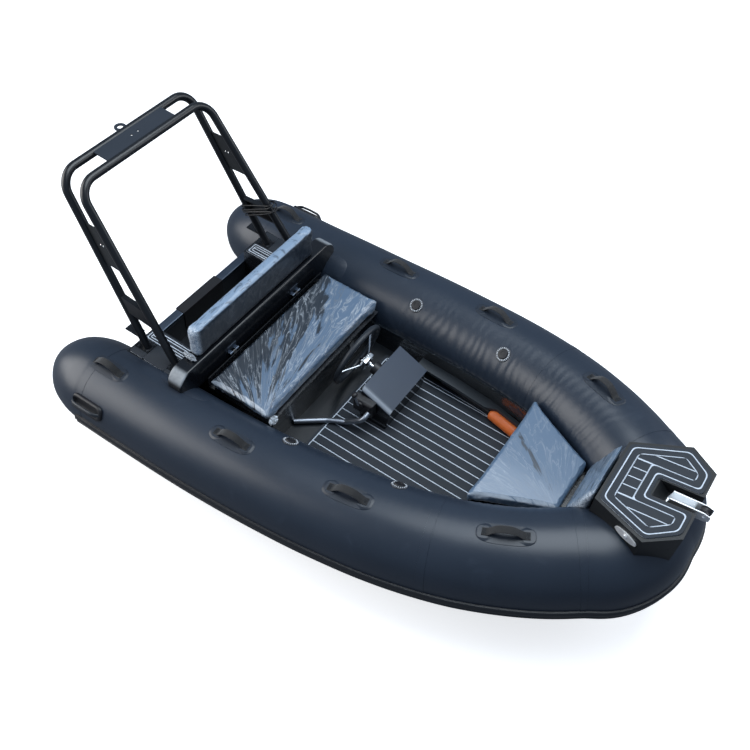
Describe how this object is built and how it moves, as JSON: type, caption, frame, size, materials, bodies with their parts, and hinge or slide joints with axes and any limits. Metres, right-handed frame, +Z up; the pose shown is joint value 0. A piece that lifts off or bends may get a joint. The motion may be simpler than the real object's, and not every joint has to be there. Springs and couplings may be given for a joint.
{
  "type": "rigid inflatable boat",
  "caption": "Small rigid inflatable tender: V hull, air tubes, helm console, wheel and seat, bow cushions, foam decks and stern arch.",
  "frame": {"origin": "amidships on the centre plane at the waterline", "axes": "+X to the bow, +Y to port, +Z up"},
  "size_m": [3.0583, 1.7684, 1.399],
  "materials": {
    "tube_fabric": "satin coated fabric",
    "strake_rubber": "matte",
    "strap_webbing": "woven",
    "hull_paint": "satin powder coat",
    "deck_paint": "satin powder coat",
    "black_gloss": "gloss powder coat",
    "console_paint": "satin powder coat",
    "arch_paint": "satin powder coat",
    "bare_aluminium": "satin",
    "stainless": "polished",
    "cushion_cover": "smooth under protective film",
    "foam_deck": "brushed foam with pale grooves",
    "black_plastic": "matte",
    "orange_plastic": "matte",
    "valve_plastic": "matte",
    "cable_rubber": "matte"
  },
  "bodies": {
    "boat": {"anchor_bracket": "stainless", "arch_cable_coil": "cable_rubber", "arch_cross_bars": "arch_paint", "arch_front_pipe": "arch_paint", "arch_rear_pipe": "arch_paint", "arch_side_plates": "arch_paint", "arch_top_plate": "arch_paint", "backrest_box": "black_gloss", "backrest_cushion": "cushion_cover", "bow_back_cushion": "cushion_cover", "bow_deck": "black_gloss", "bow_fairleads": "stainless", "bow_locker": "black_gloss", "bow_pad": "foam_deck", "bow_seat_cushion": "cushion_cover", "console": "console_paint", "control_box": "black_plastic", "control_conduit": "bare_aluminium", "deck_floor": "deck_paint", "deck_pads": "foam_deck", "grab_straps": "strap_webbing", "helm_collar": "black_plastic", "hull": "hull_paint", "lift_handles": "black_plastic", "paddle_float": "orange_plastic", "paddle_shaft": "black_plastic", "rub_strake": "strake_rubber", "seat_box": "black_gloss", "seat_hinges": "stainless", "seat_latch": "stainless", "side_shelves": "deck_paint", "side_walls": "black_gloss", "stern_boxes": "black_gloss", "tow_eye": "bare_aluminium", "transom": "hull_paint", "transom_wear_plate": "black_plastic", "tube_bow": "tube_fabric", "tube_port": "tube_fabric", "tube_starboard": "tube_fabric", "valves": "valve_plastic"},
    "wheel": {"wheel_rim": "strake_rubber", "wheel_spokes": "stainless"},
    "lid": {"seat_lid": "black_gloss", "seat_cushion": "cushion_cover"},
    "roller": {"anchor_roller": "black_plastic"}
  },
  "joints": [
    {"name": "steering_wheel", "type": "hinge", "parent": "boat", "child": "wheel", "pos_m": [-0.124, 0.134, 0.303], "axis": [-0.9744, 0, 0.225], "range_deg": [-540, 540]},
    {"name": "seat_lid", "type": "hinge", "parent": "boat", "child": "lid", "pos_m": [-0.728, 0, 0.396], "axis": [0, -1, 0], "range_deg": [0, 80]},
    {"name": "anchor_roller", "type": "hinge", "parent": "boat", "child": "roller", "pos_m": [1.446, 0, 0.74764], "axis": [0, 1, 0], "continuous": true}
  ]
}
